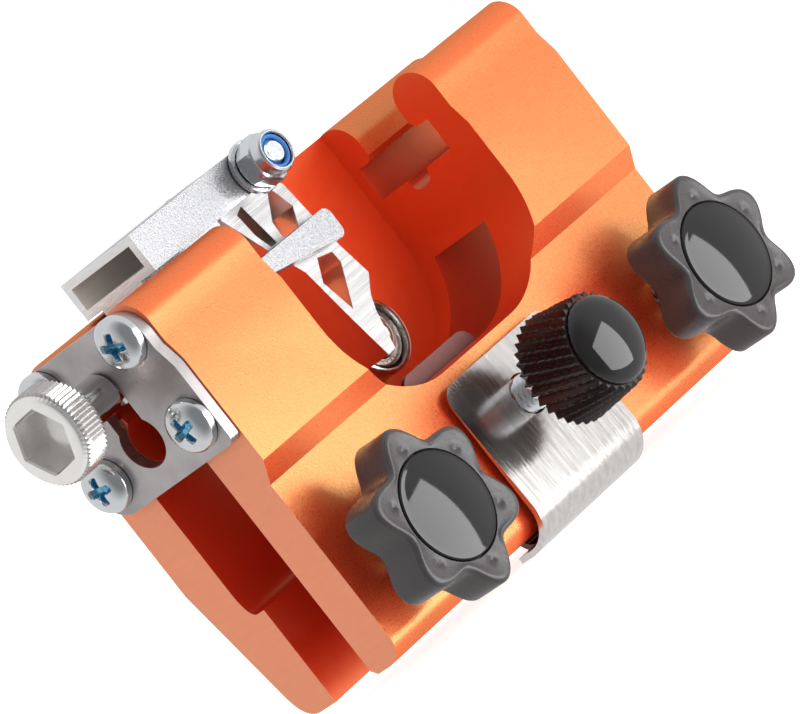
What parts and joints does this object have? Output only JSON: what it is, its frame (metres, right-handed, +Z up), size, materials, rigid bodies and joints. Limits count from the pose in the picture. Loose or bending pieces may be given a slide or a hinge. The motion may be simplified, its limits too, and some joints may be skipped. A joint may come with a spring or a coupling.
{
  "type": "chainsaw sharpening jig",
  "caption": "Clamp-on chainsaw sharpening jig: slotted orange extrusion with a swinging tooth stop on a screw-fed carriage, star clamp knobs, a guide bearing and a spring depth clip.",
  "frame": {"origin": "middle of the footprint on the lowest point, with the bar slot facing down", "axes": "+X along the extrusion, away from the feed screw; +Y towards the plain back wall, away from the knobs; +Z up, towards the rails"},
  "size_m": [0.1186, 0.0502, 0.072],
  "materials": {
    "anodised_body": "satin orange anodising",
    "bright_steel": "bright turned steel",
    "zinc_steel": "bright zinc plate",
    "cut_aluminium": "sawn and milled, uncoated",
    "spring_stainless": "brushed",
    "black_plastic": "satin moulded",
    "gloss_black_plastic": "polished cap",
    "blue_nylon": "moulded"
  },
  "bodies": {
    "body_frame": {"extruded_body": "anodised_body", "end_plate": "bright_steel", "plate_screw_1": "zinc_steel", "plate_screw_2": "zinc_steel", "plate_screw_3": "zinc_steel", "plate_screw_4": "zinc_steel", "depth_clip": "spring_stainless", "guide_bearing_inner": "bright_steel", "guide_bearing_pin": "bright_steel", "guide_bearing_shield": "zinc_steel"},
    "bearing_ring": {"guide_bearing_outer": "bright_steel"},
    "feed": {"feed_screw": "bright_steel"},
    "carriage": {"stop_carriage": "cut_aluminium", "stop_pivot_bolt": "zinc_steel", "pivot_washer": "zinc_steel", "stop_lock_nut": "zinc_steel", "lock_nut_ring": "blue_nylon"},
    "stop": {"tooth_stop": "cut_aluminium"},
    "left_clamp_shank": {"clamp_stud_left": "zinc_steel"},
    "left_clamp_grip": {"clamp_knob_left": "black_plastic", "clamp_knob_cap_left": "gloss_black_plastic"},
    "right_clamp_shank": {"clamp_stud_right": "zinc_steel"},
    "right_clamp_grip": {"clamp_knob_right": "black_plastic", "clamp_knob_cap_right": "gloss_black_plastic"},
    "depth_shank": {"depth_stud": "zinc_steel"},
    "depth_grip": {"depth_knob": "black_plastic", "depth_knob_cap": "gloss_black_plastic"}
  },
  "joints": [
    {"name": "feed_turn", "type": "hinge", "parent": "body_frame", "child": "feed", "pos_m": [-0.05636, 0.0106, 0.0562], "axis": [1, 0, 0], "range_deg": [-1440, 1440]},
    {"name": "carriage_slide", "type": "slide", "parent": "body_frame", "child": "carriage", "axis": [1, 0, 0], "range_m": [-0.0041, 0.0041]},
    {"name": "stop_pivot", "type": "hinge", "parent": "carriage", "child": "stop", "pos_m": [-0.00257, 0.0106, 0.0678], "axis": [0, -1, 0], "range_deg": [0, 50]},
    {"name": "bearing_spin", "type": "hinge", "parent": "body_frame", "child": "bearing_ring", "pos_m": [0.01223, 0.0188, 0.0372], "axis": [0, 1, 0], "continuous": true},
    {"name": "left_clamp_feed", "type": "slide", "parent": "body_frame", "child": "left_clamp_shank", "axis": [0, 1, 0], "range_m": [-0.0031, 0.0021]},
    {"name": "left_clamp_turn", "type": "hinge", "parent": "left_clamp_shank", "child": "left_clamp_grip", "pos_m": [-0.03127, -0.0094, 0.0154], "axis": [0, 1, 0], "range_deg": [-1080, 720]},
    {"name": "right_clamp_feed", "type": "slide", "parent": "body_frame", "child": "right_clamp_shank", "axis": [0, 1, 0], "range_m": [-0.0031, 0.0021]},
    {"name": "right_clamp_turn", "type": "hinge", "parent": "right_clamp_shank", "child": "right_clamp_grip", "pos_m": [0.04653, -0.0094, 0.0154], "axis": [0, 1, 0], "range_deg": [-1080, 720]},
    {"name": "depth_feed", "type": "slide", "parent": "body_frame", "child": "depth_shank", "axis": [0, 1, 0], "range_m": [-0.0031, 0]},
    {"name": "depth_turn", "type": "hinge", "parent": "depth_shank", "child": "depth_grip", "pos_m": [0.00764, -0.0154, 0.0184], "axis": [0, 1, 0], "range_deg": [-1080, 0]}
  ],
  "couplings": [
    {"joint": "carriage_slide", "follows": "feed_turn", "m_per_rad": -0.00015915},
    {"joint": "left_clamp_feed", "follows": "left_clamp_turn", "m_per_rad": 0.00015915},
    {"joint": "right_clamp_feed", "follows": "right_clamp_turn", "m_per_rad": 0.00015915},
    {"joint": "depth_feed", "follows": "depth_turn", "m_per_rad": 0.00015915}
  ]
}
